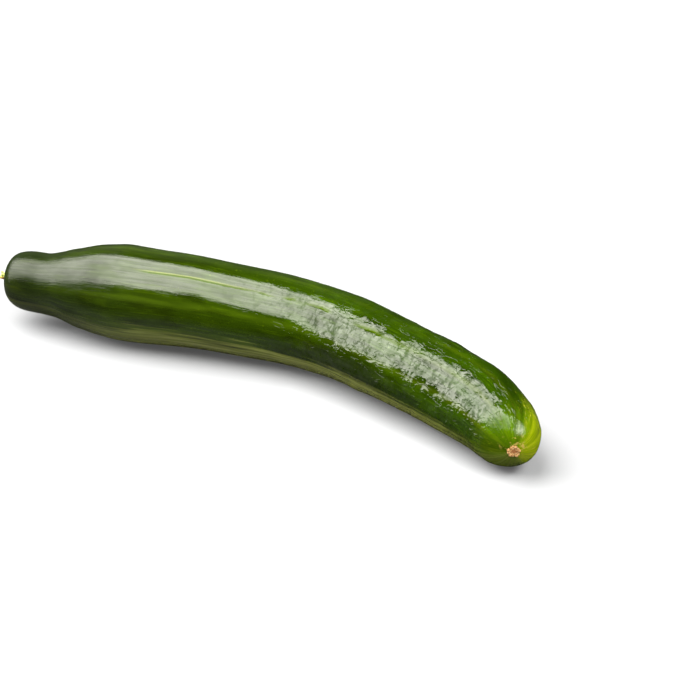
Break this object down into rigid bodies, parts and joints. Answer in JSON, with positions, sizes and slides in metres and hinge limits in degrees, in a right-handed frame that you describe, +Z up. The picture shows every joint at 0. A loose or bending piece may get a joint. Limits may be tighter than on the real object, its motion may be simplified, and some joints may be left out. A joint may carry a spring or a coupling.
{
  "type": "cucumber",
  "caption": "Long salad cucumber, gently bent, lying on its side, with a narrow neck, a cut stem stub and a rounded blossom end.",
  "frame": {"origin": "on the table, below the middle of the cucumber's outline", "axes": "+X from the stem end to the blossom end, +Y towards the outer side of the bend, +Z up"},
  "size_m": [0.3258, 0.0796, 0.0521],
  "materials": {
    "skin": "glossy waxy green rind, blackish green at the neck and yellow green at the blossom end"
  },
  "bodies": {
    "root": {"cucumber": "skin"}
  },
  "joints": []
}
